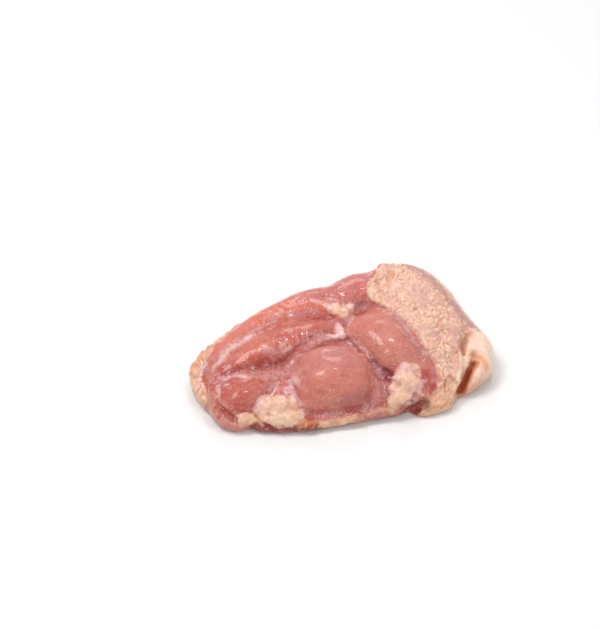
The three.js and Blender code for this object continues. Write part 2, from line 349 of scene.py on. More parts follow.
    ),
    "rim crack": ([(-32.5, -26, 5.5), (-30, -27, 5.2), (-27.5, -27.8, 5.2)], 1.1, -0.5, 0.8, "ORANGE FAT"),
    "end low": (
        [(-66, 4.5, 11.5), (-67.5, 1, 8.5), (-68, -3, 7), (-66.5, -7, 6), (-63, -10.5, 4.5), (-59, -13, 3)],
        4.0, 0.0, 0.6, "TAN MEAT",
    ),
    "left cream": (
        [(-53, 33.3, 13), (-57, 32.3, 11.5), (-60.5, 31, 10.3), (-63.5, 28.5, 9)],
        3.0, 0.2, 0.9, "LEFT CREAM",
    ),
    "side shade": (
        [(51.5, 30, 28), (55.5, 19, 28), (57, 11, 27.5), (58.5, 3, 26), (60, -3.5, 24), (62, -9.5, 20.5),
         (65, -13, 16)],
        2.6, -0.1, 0.75, "GREY SKIN",
    ),
    "curl mid": ([(54.8, -28.5, 15.5), (56.5, -31, 14.8), (56.5, -34, 12.5)], 2.4, -0.3, 0.9, "CURL SHADE"),
    "curl roll": ([(56, -34.5, 12.3), (53.5, -36.3, 10.7), (50.5, -37.7, 9.2)], 1.8, 0.5, 0.5, "WHITE FAT"),
    "foot yellow": (
        [(21.5, -40.3, 8), (27, -40.8, 9), (32, -41, 8.7), (36.5, -38.7, 9.5)],
        3.2, 0.0, 0.35, "YELLOW FAT",
    ),
    # deep red under the front at the left: the red underside, darkened as painted shade
    "red underside": (
        [(-52.5, -15.5, 3), (-46, -20, 2.5), (-39.5, -24, 2.2), (-35, -26, 2.2), (-28, -28.5, 1.5)],
        2.8, -0.4, 0.9, "BLOOD",
    ),
    "seam knot": (
        [(12, 21, 24), (15, 19.5, 24), (19, 19, 24.5), (23, 19, 25.5)],
        1.4, 0.2, 0.6, "WHITE FILM",
    ),
    "foot crease": ([(35.5, -36, 12.5), (34, -38, 10.5), (32.5, -40, 8)], 0.8, -0.45, 0.6, "CRACK"),
    "foot crease 2": ([(38.5, -35, 12.8), (40.5, -37, 10.5)], 0.7, -0.4, 0.5, "CRACK"),
    "foot crease 3": ([(33.5, -32.5, 14.5), (33, -36, 12), (30.5, -39, 9.5)], 0.8, -0.4, 0.5, "CRACK"),
    "flap dot": ([(38.8, -0.3, 28.7), (39.4, 0.2, 28.7)], 0.9, -0.2, 0.7, "CRACK"),
    "lilac spot": ([(43, 0, 28.5), (45.5, 1.5, 28)], 3.0, 0.0, 0.45, "LILAC SKIN"),
    "lilac spot 2": ([(50.5, -20, 21), (50, -17, 22.5)], 3.6, 0.0, 0.5, "LILAC SKIN"),
    "lilac spot 3": ([(38, -13, 26), (40, -15, 25)], 3.0, 0.0, 0.4, "LILAC SKIN"),
}
STROKE_TONES = {
    # white film, also laid as painted glints on the crest, along a streak and on the cross muscle
    "WHITE FILM": (246, 216, 212),
    "LILAC": (196, 130, 128),
    # grey film, also laid as painted shade beside the flap's edge
    "GREY FILM": (170, 112, 110),
    "PINK FILM": (232, 184, 182),
    "WHITE FAT": (250, 216, 186),
    "PALE FAT": (234, 182, 162),
    "PALE FILM": (222, 170, 164),
    "YELLOW FAT": (246, 204, 156),
    "ORANGE FAT": (206, 110, 62),
    "LEFT CREAM": (232, 164, 128),
    # painted light: paler salmon for the glow strokes
    "SALMON": (228, 136, 110),
    "PLUM": (168, 88, 94),
    "RIM PINK": (200, 132, 112),
    # the underside under the front, darkened as painted shade
    "DARK FILM": (150, 74, 60),
    "TAN MEAT": (216, 146, 128),
    "GREY SKIN": (186, 140, 134),
    "CURL SHADE": (230, 160, 116),
    # painted shade in pits and creases of the joint fat, purple
    "PIT": (146, 72, 80),
    # deep red of the meat, laid as painted shade on low sides, in grooves and in hollows
    "RED MEAT": (172, 50, 36),
    "LILAC MEAT": (204, 122, 124),
    "CRACK": (190, 106, 76),
    # deep red of the underside, darkened as painted shade
    "BLOOD": (136, 12, 4),
    "LILAC SKIN": (222, 174, 168),
}
STROKE_SPREAD = 1.9  # how far the torn border of a stroke can stray, in reaches

# Seams between muscles: path, half width, depth.
SEAMS = {
    "long": (
        [(-60, 10, 15.5), (-53.5, 9, 15.5), (-48.5, 8.5, 17.5), (-43.5, 6.5, 17.5), (-37.5, 5, 17.5),
         (-32, 3.5, 17.5), (-27.5, 4, 19), (-24, 4.5, 20.5), (-20.5, 4.5, 22), (-17, 5.5, 23),
         (-12.5, 6.5, 24.5), (-7, 6.5, 24.5), (-1, 7.5, 23), (2.5, 10.5, 23)],
        1.9, 0.9,
    ),
    "end": (
        [(-27.5, 3.5, 18), (-31, 1.5, 16.5), (-35.5, -1.5, 16), (-38.5, -4, 15), (-42, -7.5, 14),
         (-46, -9, 13), (-49.5, -10, 12), (-52, -11, 9)],
        1.5, 0.9,
    ),
    "middle": (
        [(-26, 4.5, 20), (-28, 1, 17), (-31.5, -5.5, 16), (-31, -10.5, 14.5), (-31.5, -14.5, 13),
         (-32, -18, 11), (-30.5, -21, 9), (-27, -22.5, 7)],
        1.4, 0.7,
    ),
    "cross": (
        [(4.5, 4, 20), (5.5, 1.5, 18.5), (6, -4.5, 18), (6.5, -9.5, 16.5), (8, -14.5, 15.5),
         (8.5, -20, 13), (8, -26, 12), (6, -30, 9)],
        1.3, 0.9,
    ),
    "joint": ([(9, -14, 17), (10.5, -18, 15.5), (12.5, -20.5, 15), (13, -23.5, 14)], 1.6, 1.2),
    "band": (
        [(-62, 24.5, 11), (-58.5, 25, 13), (-55, 24, 16), (-50.5, 23.5, 18.5), (-44.5, 24, 21),
         (-36.5, 26.5, 23.5), (-28, 27, 25), (-19, 26, 25.5), (-9.5, 24.5, 25.5), (0, 24, 23.5),
         (3.5, 22, 23)],
        1.5, 0.35,
    ),
    "long end": ([(4, 22.5, 22.5), (5, 18, 22.5), (4.5, 13, 23.5), (6.5, 11, 22)], 1.2, 0.8),
    "strip": ([(12.5, 21, 25), (15.5, 19.5, 23), (20, 20, 21.5), (23.5, 18.5, 23.5)], 1.5, 0.7),
    "strip back": ([(8, 24.5, 26.5), (5.5, 28, 26.5), (0.5, 32, 26.5), (-6, 31.5, 27)], 1.8, 0.6),
    "flap edge": (
        [(26.5, 11, 26.5), (28, 7.5, 26), (29.5, 1.5, 26.5), (31, -3.5, 26), (32, -8.5, 25),
         (32.5, -14, 23.5), (33, -19.5, 21.5), (33, -24, 20), (34, -27.5, 18), (33.5, -30.5, 15.5),
         (32.5, -33.5, 13), (30.5, -36.5, 11.5), (27, -38, 10)],
        1.1, 0.8,
    ),
    "under middle": ([(-27, -24, 7), (-18, -27, 7), (-8, -30, 7.5), (0, -32, 7.5), (5, -33, 8)], 1.6, 0.8),
}
SEAM_SPREAD = 1.7  # how far a seam reaches, in half widths
SEAM_REACH = 4.5  # how far the film beside a seam reaches

# Heights of the fine relief.
ROLLING = 0.30
WANDERING = 0.14
RAGGED = 0.05
FIBROUS = 0.05
FAT_LUMPY = 0.7
FAT_CRUMBLY = 0.18
LOBULE_PROUD = 0.55
LOBULE_VARIES = 0.3
SKIN_ROLLING = 0.3
SKIN_SUNK = 0.6
DOTS_PROUD = 0.2
LINES_PROUD = 0.3
FILLED = 1.5  # how far narrow furrows in the meat are filled again, away from the seams
ON_BOARD = 0.8  # height up to which the relief fades out towards the flat underside

LOBULE_PITCH = 2.8  # least distance between the middles of two lobules
DOT_PITCH = 3.4  # the same for the dots where the feathers were
DOT_REACH = 1.2
TOUCHED = 0.02  # least share of a tissue that is worked on

# ---- Zones, as outlines seen from above ----

BACK_BORDER = [
    (-68.5, 13), (-67, 17), (-66, 21), (-64.5, 26), (-62, 30), (-58.5, 32.5), (-54.5, 34), (-50, 35.3),
    (-45, 36.5), (-40, 37.8), (-30, 39.8), (-20, 41.3), (-10, 42.6), (0, 43.2), (5, 43), (10, 42.4),
    (15, 41.3), (20, 41.3), (25, 41.8), (30, 41.8), (34, 40.5), (38, 38.5), (41, 36),
]
FLAP_BORDER = [
    (41, 36), (34.5, 30.5), (31, 27.5), (26.5, 25.5), (25, 22.5), (23.8, 20), (24, 15), (26.2, 11.5),
    (28, 7.5), (29.5, 1.5), (31, -3.5), (32, -8.5), (32.5, -14), (33, -19.5), (33.2, -24), (34, -27.5),
    (33.7, -30.5), (32.5, -33.5), (30.5, -36.5), (27, -38), (22.5, -39), (19.5, -41), (17, -60),
]
FLAP_FOLD = [(61.5, -13.5), (58, -17.5), (54, -20.5), (50.5, -24), (46.5, -29), (44.5, -33), (40.5, -36),
             (36.5, -40)]
SKIN_TURN = [(50, 60), (51, 34), (53, 22), (54.5, 15.5), (56.5, 7), (58.5, -0.5), (59.5, -8.5), (62, -13)]
ZONES = {
    "flap": FLAP_BORDER + [(95, -60), (95, 60), (46, 60)],
    "curl": FLAP_FOLD + [(34, -60), (95, -60), (95, -12)],
    "side": SKIN_TURN + [(95, -13), (95, 60)],
    "back": BACK_BORDER + [(46, 60), (-95, 60), (-95, 13)],
    "band": [(-62, 24.5), (-58.5, 25), (-55, 24), (-50.5, 23.5), (-44.5, 24), (-36.5, 26.5), (-28, 27),
             (-19, 26), (-9.5, 24.5), (0, 24), (3.5, 22), (8, 24.5), (5.5, 28), (0.5, 32), (-6, 50),
             (-70, 50)],
    "strip": [(3.5, 22), (12.5, 21), (15.5, 20), (24, 19), (27, 24), (34, 31), (42, 36), (42, 50), (-6, 50),
              (0.5, 32), (5.5, 28), (8, 24.5)],
    "cross": [(4.5, 4), (7.5, 11), (7.5, 14), (13, 18), (24, 14), (28, 7.5), (31, -3.5), (32.5, -14),
              (33, -24), (30, -28), (20, -22), (12.5, -20.5), (8, -14.5), (6, -4.5)],
    "middle": [(-26, 4.5), (-17, 5.5), (-7, 6.5), (2, 5), (5.5, 1.5), (6, -4.5), (8, -14.5), (8, -26),
               (4, -33), (-10, -33), (-28, -26), (-32, -18), (-31, -10)],
    "end": [(-70, 12), (-60, 10), (-48.5, 8.5), (-37.5, 5), (-31, 1.5), (-38.5, -4), (-49.5, -10), (-56, -30),
            (-80, -20)],
}

BACK_TOP = 11  # below this height the skin of the back reaches in over its border
BACK_LEAN = 0.7  # and by this much for each millimetre
UNDERSIDE = (2.4, 1.2)  # heights at which the skin of the underside begins and is whole
BOARD = (0.3, 0.1)  # the same for what lies on the board
FOLD_REACH = 5  # how far the pale strip beside the curl reaches
CURL_DOTS = (58, 62)  # the dots on the curl begin and are whole at these places in X

# ---- Tones ----

MEAT = (195, 91, 74)
TONES = {
    "end": (188, 79, 62),
    "middle": (203, 120, 108),
    "cross": (209, 126, 109),
    "band": (221, 114, 89),
    "strip": (206, 112, 104),
}
FIBRES = {"end": 8, "middle": -24, "cross": 103, "band": 8, "strip": 12}  # degrees from +X, seen from above
LONG_FIBRES = -4  # the same for the rest
FIBRE_LENGTH = 7  # in widths
FIBRE_WIDTH = 1.3
# paler meat: random paler patches and fibre streaks, and painted light on the bulging crests
PALE_MEAT_AND_LIGHT = (223, 147, 131)
# deep red of the meat: random darker patches, and painted shade on low sides that face downwards and in the
# hollows
DEEP_MEAT_AND_SHADE = (174, 62, 50)
FILM_LILAC = (205, 138, 144)
# pale lines of the wrinkled film, partly painted glints
FILM_LINE_AND_GLINT = (240, 190, 184)
FAT = (248, 201, 176)
FAT_YELLOW = (236, 188, 138)
FAT_PINK = (240, 198, 194)
# deeper orange of the fat: random patches on the rims, and painted shade in the hollows of the fat
DEEP_FAT_AND_SHADE = (216, 146, 112)
RIM_FAT = (226, 176, 136)
SKIN = (238, 192, 168)
SKIN_LIGHT = (253, 214, 189)
SKIN_LILAC = (228, 178, 166)
# orange net between the lobules, also laid as painted shade in the hollows of the skin
NET_AND_SHADE = (208, 132, 100)
# the flap towards the board: yellower skin there, darkened by painted shade
SKIN_LOW_AND_SHADE = (234, 180, 140)
SKIN_OUTER = (232, 184, 160)
CURL = (253, 219, 198)
# painted shade: the curl darker orange low down, below its lit top
CURL_LOW_SHADE = (220, 158, 118)
PALE_STRIP = (236, 176, 154)
# painted shade in the hollows of the curl: orange at the edges, dark brown deep in
DARK_HOLLOW_SHADE = (178, 60, 4)
HOLLOW_EDGE_SHADE = (218, 132, 76)
# painted shadow in the gap under the flap
GAP_SHADOW = (92, 26, 20)
SUNK_SHADES = {  # hollows of the curl: reach in half widths, share of both tones, and of the dark one
    "curl end": (1.4, 0.4, 0.2),
    "curl": (1.4, 0.9, 1.0),
    "curl crease": (1.2, 0.5, 1.0),
}
SUNK = 0.6  # how deep that colour is centred, as a share of the depth of the hollow
GAP_SHADOW_REACH = 5  # how far the dark of the gap under the flap reaches

# ---- Helpers ----


def curve(points, steps=4):
    """A smooth curve through points given in millimetres, as an array of points in metres."""
    knots = [Vector(point) * MM for point in points]
    knots = [2 * knots[0] - knots[1], *knots, 2 * knots[-1] - knots[-2]]
    made = []
    for a, b, c, d in zip(knots, knots[1:], knots[2:], knots[3:]):
        for step in range(steps):
            t = step / steps
            even = 2 * b + (c - a) * t
            bend = (2 * a - 5 * b + 4 * c - d) * t**2
            made.append(0.5 * (even + bend + (3 * b - a - 3 * c + d) * t**3))
    made.append(knots[-2])
    return np.array(made)


def distance(points, path):
    """How far each point lies from a path of straight stretches."""
    nearest = np.full(len(points), np.inf)
    for start, end in zip(path, path[1:]):
        way = end - start
        share = np.clip((points - start) @ way / (way @ way), 0, 1)
        nearest = np.minimum(nearest, np.linalg.norm(points - start - share[:, None] * way, axis=1))
    return nearest


def smooth(low, high, value):
    """0 below low, 1 above high, and a smooth rise between them. With low above high it falls instead."""
    share = np.clip((value - low) / (high - low), 0, 1)
    return share * share * (3 - 2 * share)


def bell(value):
    """1 at 0, falling smoothly to 0 at 1 and beyond."""
    return np.clip(1 - value * value, 0, 1) ** 2


def grain(points, pitch, seed=0, octaves=2):
    """Noise between about -1 and 1, whose lumps are about pitch millimetres apart."""
    shift = Vector((17.3 * seed, -9.1 * seed, 5.7 * seed))
    scaled = points / (pitch * MM)
    return np.array([noise.fractal(Vector(point) + shift, 1.0, 2.0, octaves) for point in scaled])


class Surface:
    """The vertices of a mesh as arrays: where they are, and which way they face."""

    def __init__(self, obj):
        self.mesh = obj.data
        self.read()

    def read(self):
        count = len(self.mesh.vertices)
        at = np.empty(3 * count, np.float32)
        out = np.empty(3 * count, np.float32)
        self.mesh.vertices.foreach_get("co", at)
        self.mesh.vertex_normals.foreach_get("vector", out)
        self.at = at.reshape(-1, 3).astype(float)
        self.out = out.reshape(-1, 3).astype(float)

    def move(self, step):
        self.mesh.vertices.foreach_set("co", (self.at + step).astype(np.float32).ravel())
        self.mesh.update()
        self.read()

    def grow(self, height):
        """Moves each vertex outwards by its height in millimetres."""
        self.move(self.out * (height * MM)[:, None])

    def near(self, path, reach):
        """1 on a curve given in millimetres, falling to 0 at reach millimetres from it."""
        line = curve(path)
        low, high = line.min(0) - reach * MM, line.max(0) + reach * MM
        close = np.all((self.at > low) & (self.at < high), axis=1)
        found = np.zeros(len(self.at))
        found[close] = bell(distance(self.at[close], line) / (reach * MM))
        return found

    def within(self, zone):
        """How far inside a zone's outline each vertex is, in millimetres, seen from above."""
        corners = np.array(ZONES[zone], float)
        flat = self.at[:, :2] / MM
        closed = np.vstack([corners, corners[:1]])
        inside = np.zeros(len(flat), bool)
        for (x0, y0), (x1, y1) in zip(closed, closed[1:]):
            if y0 == y1:
                continue
            crosses = (flat[:, 1] < y0) != (flat[:, 1] < y1)
            inside ^= crosses & (flat[:, 0] < x0 + (flat[:, 1] - y0) * (x1 - x0) / (y1 - y0))
        return np.where(inside, 1, -1) * distance(flat, closed)

    def keep(self, name, values):
        """Stores one number for each vertex, for the material to read."""
        self.mesh.attributes.new(name, "FLOAT", "POINT").data.foreach_set("value", values.astype(np.float32))

    def keep_colour(self, name, colours):
        full = np.hstack([colours, np.ones((len(colours), 1))]).astype(np.float32)
        self.mesh.color_attributes.new(name, "FLOAT_COLOR", "POINT").data.foreach_set("color", full.ravel())


# ---- Making the form ----


def pick(*objs):
    bpy.ops.object.select_all(action="DESELECT")
    for obj in objs:
        obj.select_set(True)
    bpy.context.view_layer.objects.active = objs[0]


def modify(obj, kind, **settings):
    pick(obj)
    bpy.ops.object.modifier_add(type=kind)
    modifier = obj.modifiers[-1]
    for key, value in settings.items():
        setattr(modifier, key, value)
    bpy.ops.object.modifier_apply(modifier=modifier.name)


def solid_copy(name):
    """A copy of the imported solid, with its loose triangles merged."""
    obj = bpy.data.objects.new(name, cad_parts["chicken_thigh"].data.copy())
    obj.data.name = name
    obj.data.materials.clear()
    bpy.context.scene.collection.objects.link(obj)
    pick(obj)
    bpy.ops.object.mode_set(mode="EDIT")
    bpy.ops.mesh.select_all(action="SELECT")
    bpy.ops.mesh.remove_doubles(threshold=0.01 * MM)
    bpy.ops.object.mode_set(mode="OBJECT")
    return obj


def lump(tree, place, radius, share):
    """A flattened ball that has grown on the surface nearest to a place."""
    at, out, _, _ = tree.find_nearest(Vector(place) * MM)
    bpy.ops.mesh.primitive_ico_sphere_add(
        subdivisions=3,
        radius=radius * MM,
        location=at - out * LUMP_SUNK * radius * MM,
        rotation=out.to_track_quat("Z", "Y").to_euler(),
        scale=(1, 1, share),
    )
    return bpy.context.object


def remesh(body, pitch, passes):
    modify(body, "REMESH", mode="VOXEL", voxel_size=pitch * MM)
    modify(body, "SMOOTH", factor=RELAXING, iterations=passes)


def thigh_mesh():
    body = solid_copy("thigh")
    remesh(body, COARSE, COARSE_RELAXED)
    surface = Surface(body)
    way = np.array(INWARD) / np.linalg.norm(INWARD)
    for path, half_width, depth in HOLLOWS.values():
        surface.move(way * (surface.near(path, HOLLOW_SPREAD * half_width) * depth * MM)[:, None])
    places = [vertex.co for vertex in body.data.vertices]
    tree = BVHTree.FromPolygons(places, [tuple(face.vertices) for face in body.data.polygons])
    lumps = []
    for name, group in FAT_LUMPS.items():
        share = LOW_SHARE if name == "flap" else LUMP_SHARE
        lumps += [lump(tree, place, radius, share) for place, radius in group]
    pick(body, *lumps)
    bpy.ops.object.join()
    remesh(body, FINE, FINE_RELAXED)
    return body


# ---- Patterns on the surface ----


def scattered(surface, share, pitch, dice):
    """Places on the surface where share is over a half, no two of them nearer than pitch millimetres."""
    order = np.where(share > 0.5)[0]
    dice.shuffle(order)
    open_yet = np.zeros(len(surface.at), bool)
    open_yet[order] = True
    found = []
    for index in order:
        if open_yet[index]:
            found.append(surface.at[index])
            box = np.where(np.all(np.abs(surface.at - surface.at[index]) < pitch * MM, axis=1))[0]
            gaps = np.linalg.norm(surface.at[box] - surface.at[index], axis=1)
            open_yet[box[gaps < pitch * MM]] = False
    return found


def nearest_two(points, places):
    """For each point: how far its two nearest places are, in millimetres, and which is the nearest."""
    tree = KDTree(len(places))
    for index, place in enumerate(places):
        tree.insert(place, index)
    tree.balance()
    rows = []
    for point in points:
        (_, which, first), (_, _, second) = tree.find_n(point, 2)
        rows.append((first, second, which))
    rows = np.array(rows)
    return rows[:, 0] / MM, rows[:, 1] / MM, rows[:, 2].astype(int)


def hollowness(body, passes):
    """How far each vertex lies below its smoothed surroundings, in millimetres: over 0 in the furrows."""
    copy = body.copy()
    copy.data = body.data.copy()
    bpy.context.scene.collection.objects.link(copy)
    modify(copy, "SMOOTH", factor=RELAXING, iterations=passes)
    before, after = Surface(body), Surface(copy)
    depth = np.einsum("ij,ij->i", after.at - before.at, before.out) / MM
    bpy.data.objects.remove(copy)
    return depth


def linear(tone):
    """A tone in the linear light that the renderer works in."""
    shares = np.array(tone) / 255
    return np.where(shares <= 0.04045, shares / 12.92, ((shares + 0.055) / 1.055) ** 2.4)


def zone_masks(surface, wander, ragged):
    """How far each vertex belongs to each kind of tissue, from 0 to 1."""
    height = surface.at[:, 2] / MM
    flap = smooth(-0.4, 0.4, surface.within("flap") + 0.6 * ragged)
    wall = surface.within("back") + BACK_LEAN * np.clip(BACK_TOP - height, 0, None) + 0.8 * wander
    back = smooth(-0.5, 0.5, wall) * (surface.out[:, 1] > -0.2) * (1 - flap)
    under = smooth(*UNDERSIDE, height + 0.6 * ragged) * smooth(0.2, -0.3, surface.out[:, 2])
    under = np.maximum(under, smooth(*BOARD, height))
    curl = flap * smooth(-0.6, 0.6, surface.within("curl") + 0.3 * ragged)
    side = flap * smooth(-1.5, 1.5, surface.within("side") + 0.8 * wander)
    side = np.maximum(side, flap * smooth(-0.1, -0.5, surface.out[:, 2]) * (1 - curl))
    fat = np.zeros(len(surface.at))
    for name in FAT_NAMES:
        for place, radius in FAT_LUMPS[name]:
            away = np.linalg.norm(surface.at - np.array(place) * MM, axis=1) / (radius * MM)
            fat = np.maximum(fat, smooth(1.30, 1.05, away + 0.22 * ragged + 0.12 * wander))
    rim = np.zeros(len(surface.at))
    for name in FAT_RIMS:
        path, reach, _ = RIMS[name]
        edge = surface.near(path, RIM_SPREAD * reach)
        rim = np.maximum(rim, smooth(0.2, 0.45, edge * (1 + 0.5 * ragged + 0.4 * wander)))
    zones = {"flap": flap, "back": back, "under": under, "curl": curl, "side": side}
    return {**zones, "fat": fat * (1 - flap), "rim": rim * (1 - flap) * (1 - fat)}


def lobules(surface, share):
    """The lumpy fat under the skin of the flap: height of each lump, the net between them, and its tone."""
    dice = np.random.default_rng(7)
    fields = np.where(share > TOUCHED)[0]
    at = surface.at[fields]
    warp = np.stack([grain(at, 6.0, seed) for seed in (11, 12, 13)], axis=1) * 3.0 * MM
    warp += np.stack([grain(at, 2.2, seed) for seed in (14, 15, 16)], axis=1) * 0.8 * MM
    cells = scattered(surface, share, LOBULE_PITCH, dice)
    first, second, which = nearest_two(at + warp, cells)
    inward = second - first  # 0 on the border between two lobules
    made = np.zeros((3, len(surface.at)))
    made[0, fields] = smooth(0.0, 1.8, inward)
    made[1, fields] = smooth(0.7, 0.1, inward) * smooth(-0.3, 0.4, grain(at, 4.5, 21))
    made[2, fields] = dice.uniform(-1, 1, len(cells))[which] * smooth(0.0, 1.2, inward)
    return made


def follicles(surface, share):
    """Raised dots where the feathers were: 1 on a dot, and 0 between them."""
    fields = np.where(share > TOUCHED)[0]
    places = scattered(surface, share, DOT_PITCH, np.random.default_rng(9))
    first, _, _ = nearest_two(surface.at[fields], places)
    made = np.zeros(len(surface.at))
    made[fields] = bell(first / DOT_REACH)
    return made * share


def fans(surface):
    """Bundles of fine lines side by side: 1 on a line, and 0 between them."""
    dice = np.random.default_rng(5)
    made = np.zeros(len(surface.at))
    for starts, ends, count in FANS:
        starts, ends = curve(starts) / MM, curve(ends) / MM
        for share in np.linspace(0, 1, count):
            start = starts[int(share * (len(starts) - 1))]
            end = ends[int(share * (len(ends) - 1))]
            middle = (start + end) / 2 + dice.normal(0, 0.5, 3)
            made = np.maximum(made, dice.uniform(0.5, 1) * surface.near([start, middle, end], 0.9))
    return made


def fibre_streaks(surface):
    """Noise drawn out along the fibres of each muscle."""
    turn = np.full(len(surface.at), math.radians(LONG_FIBRES))
    for zone, degrees in FIBRES.items():
        turn = np.where(surface.within(zone) > 0, math.radians(degrees), turn)
    along = surface.at[:, 0] * np.cos(turn) + surface.at[:, 1] * np.sin(turn)
    across = surface.at[:, 1] * np.cos(turn) - surface.at[:, 0] * np.sin(turn)
    return grain(np.stack([along / FIBRE_LENGTH, across, surface.at[:, 2]], axis=1), FIBRE_WIDTH, 41)


# ---- Relief and colours ----


def sculpt_and_paint(body):
    surface = Surface(body)
    at = surface.at.copy()
    height = at[:, 2] / MM
    wander = grain(at, 6, 1)
    ragged = grain(at, 2.2, 2)
    rolling = grain(at, 12, 3)
    crumbs = grain(at, 1.3, 4)
    zones = zone_masks(surface, wander, ragged)
    flap, fat, rim, curl = zones["flap"], zones["fat"], zones["rim"], zones["curl"]
    outer = np.maximum.reduce([zones["back"], zones["under"], zones["side"]])
    skin = np.maximum(flap, outer)
    meat = (1 - skin) * (1 - fat) * (1 - rim)
    fold = surface.near(RIMS["strip"][0], FOLD_REACH) * (1 - curl)
    rough_skin = flap * (1 - curl) * (1 - zones["side"]) * (1 - 0.8 * fold)
    streaks = fibre_streaks(surface)

    # Relief
    seams = np.zeros(len(at))
    seam_near = np.zeros(len(at))
    for path, half_width, depth in SEAMS.values():
        seams = np.maximum(seams, surface.near(path, SEAM_SPREAD * half_width) * depth)
        seam_near = np.maximum(seam_near, surface.near(path, SEAM_REACH))
    lumpy, net, cell_tone = lobules(surface, flap)
    dots = follicles(surface, np.maximum(outer, 0.7 * curl * smooth(*CURL_DOTS, at[:, 0] / MM)))
    relief = ROLLING * rolling + WANDERING * wander + RAGGED * ragged + FIBROUS * streaks * meat
    relief += np.maximum(fat, rim) * (FAT_LUMPY * grain(at, 3.6, 42) + FAT_CRUMBLY * grain(at, 1.9, 43))
    lumpy = lumpy * (LOBULE_PROUD + LOBULE_VARIES * cell_tone)
    relief += rough_skin * (lumpy + SKIN_ROLLING * grain(at, 5, 44) - SKIN_SUNK) + DOTS_PROUD * dots
    relief -= seams * (1 - 0.6 * fat)
    lines = fans(surface) * meat
    relief += LINES_PROUD * lines
    for path, reach, rise in BULGES.values():
        relief += surface.near(path, reach) * rise
    furrow = np.clip(hollowness(body, 12), 0, None)
    relief += FILLED * furrow * (1 - np.clip(1.5 * seam_near, 0, 1)) * meat
    for path, reach, rise in RIMS.values():
        relief += surface.near(path, reach) * rise * (1 + 0.8 * wander + 0.5 * ragged)
    strokes = {}
    for name, (path, reach, rise, _, _) in STROKES.items():
        edge = surface.near(path, STROKE_SPREAD * reach)
        strokes[name] = smooth(0.15, 0.85, edge * (1 + 0.5 * wander + 0.9 * ragged + 0.5 * crumbs))
        relief += strokes[name] * rise
    surface.grow(relief * smooth(0.0, ON_BOARD, height))

    # Colours, laid on tone by tone
    # deep marks the hollows that get painted shade, and crest the bulges that get painted light
    hollow = hollowness(body, 30)
    deep = smooth(0.05, 0.55, hollow)
    crest = smooth(0.05, 0.5, -hollow)
    colour = np.tile(linear(MEAT), (len(at), 1))

    def paint(share, tone):
        nonlocal colour
        colour = colour + np.clip(share, 0, 1)[:, None] * (linear(tone) - colour)

    for zone, tone in TONES.items():
        paint(smooth(-1.2, 1.2, surface.within(zone) + 0.6 * wander), tone)
    paint(0.22 * smooth(0.0, 0.7, grain(at, 9, 31)), PALE_MEAT_AND_LIGHT)
    paint(0.22 * smooth(0.0, 0.7, grain(at, 7, 32)), DEEP_MEAT_AND_SHADE)
    paint(0.35 * smooth(0.1, 0.7, grain(at, 5, 38)), STROKE_TONES["LILAC MEAT"])
    # painted shade: the meat darker on low sides that face downwards
    paint(0.2 * smooth(0.75, 0.25, surface.out[:, 2]) * smooth(26, 10, height), DEEP_MEAT_AND_SHADE)
    # painted light: the meat paler on its bulging crests
    paint(0.30 * crest, PALE_MEAT_AND_LIGHT)
    paint(0.22 * smooth(-0.2, 0.6, streaks), PALE_MEAT_AND_LIGHT)
    film = np.clip(seam_near * smooth(-0.45, 0.3, grain(at, 4.2, 33)), 0, 1) * meat
    paint(0.6 * film, FILM_LILAC)
    # painted shade: the meat darker in its hollows
    paint(0.5 * deep * meat, DEEP_MEAT_AND_SHADE)
    # pale lines on the fans of wrinkles, partly painted glints
    paint(0.5 * lines, FILM_LINE_AND_GLINT)
    paint(rim, RIM_FAT)
    paint(0.7 * rim * smooth(-0.1, 0.5, ragged), FAT)
    paint(0.5 * rim * smooth(-0.1, -0.5, ragged), DEEP_FAT_AND_SHADE)
    paint(fat, FAT)
    paint(0.5 * fat * smooth(0, 0.6, grain(at, 5, 35)), FAT_YELLOW)
    paint(0.6 * fat * smooth(0, 0.6, grain(at, 4.3, 36)), FAT_PINK)
    # painted shade: the fat darker orange in its hollows
    paint(0.7 * deep * fat, DEEP_FAT_AND_SHADE)
    paint(flap, SKIN)
    paint(0.85 * rough_skin * smooth(-0.2, 0.6, cell_tone), SKIN_LIGHT)
    paint(0.5 * rough_skin * smooth(0.1, -0.7, cell_tone), SKIN_LILAC)
    paint(0.45 * flap * smooth(0.0, 0.7, grain(at, 8, 37)), SKIN_LIGHT)
    paint(0.85 * net * rough_skin, NET_AND_SHADE)
    # painted shade: the skin darker in its hollows
    paint(0.5 * deep * rough_skin, NET_AND_SHADE)
    # the flap yellower towards the board, and darker there as painted shade
    paint(0.7 * flap * smooth(14, 5, height + 2 * wander) * (1 - curl), SKIN_LOW_AND_SHADE)
    paint(0.8 * fold * flap, PALE_STRIP)
    paint(curl, CURL)
    # painted shade: the curl darker towards the board
    paint(0.8 * curl * smooth(13, 4, height + 2 * wander), CURL_LOW_SHADE)
    paint(outer * (1 - curl) * 0.9, SKIN_OUTER)
    paint(0.35 * dots, SKIN_LIGHT)
    for name, (_, _, _, share, tone) in STROKES.items():
        paint(share * strokes[name], STROKE_TONES[tone])
    # painted shade in the hollows of the curl
    for name, (reach, share, dark) in SUNK_SHADES.items():
        path, half_width, depth = HOLLOWS[name]
        sunk = [np.array(place) + SUNK * depth * np.array(INWARD) for place in path]
        paint(share * surface.near(sunk, HOLLOW_SPREAD * reach * half_width), HOLLOW_EDGE_SHADE)
        paint(share * dark * surface.near(sunk[1:], reach * half_width), DARK_HOLLOW_SHADE)
    # painted shadow in the gap under the flap
    paint(surface.near(HOLLOWS["gap under the flap"][0], GAP_SHADOW_REACH), GAP_SHADOW)

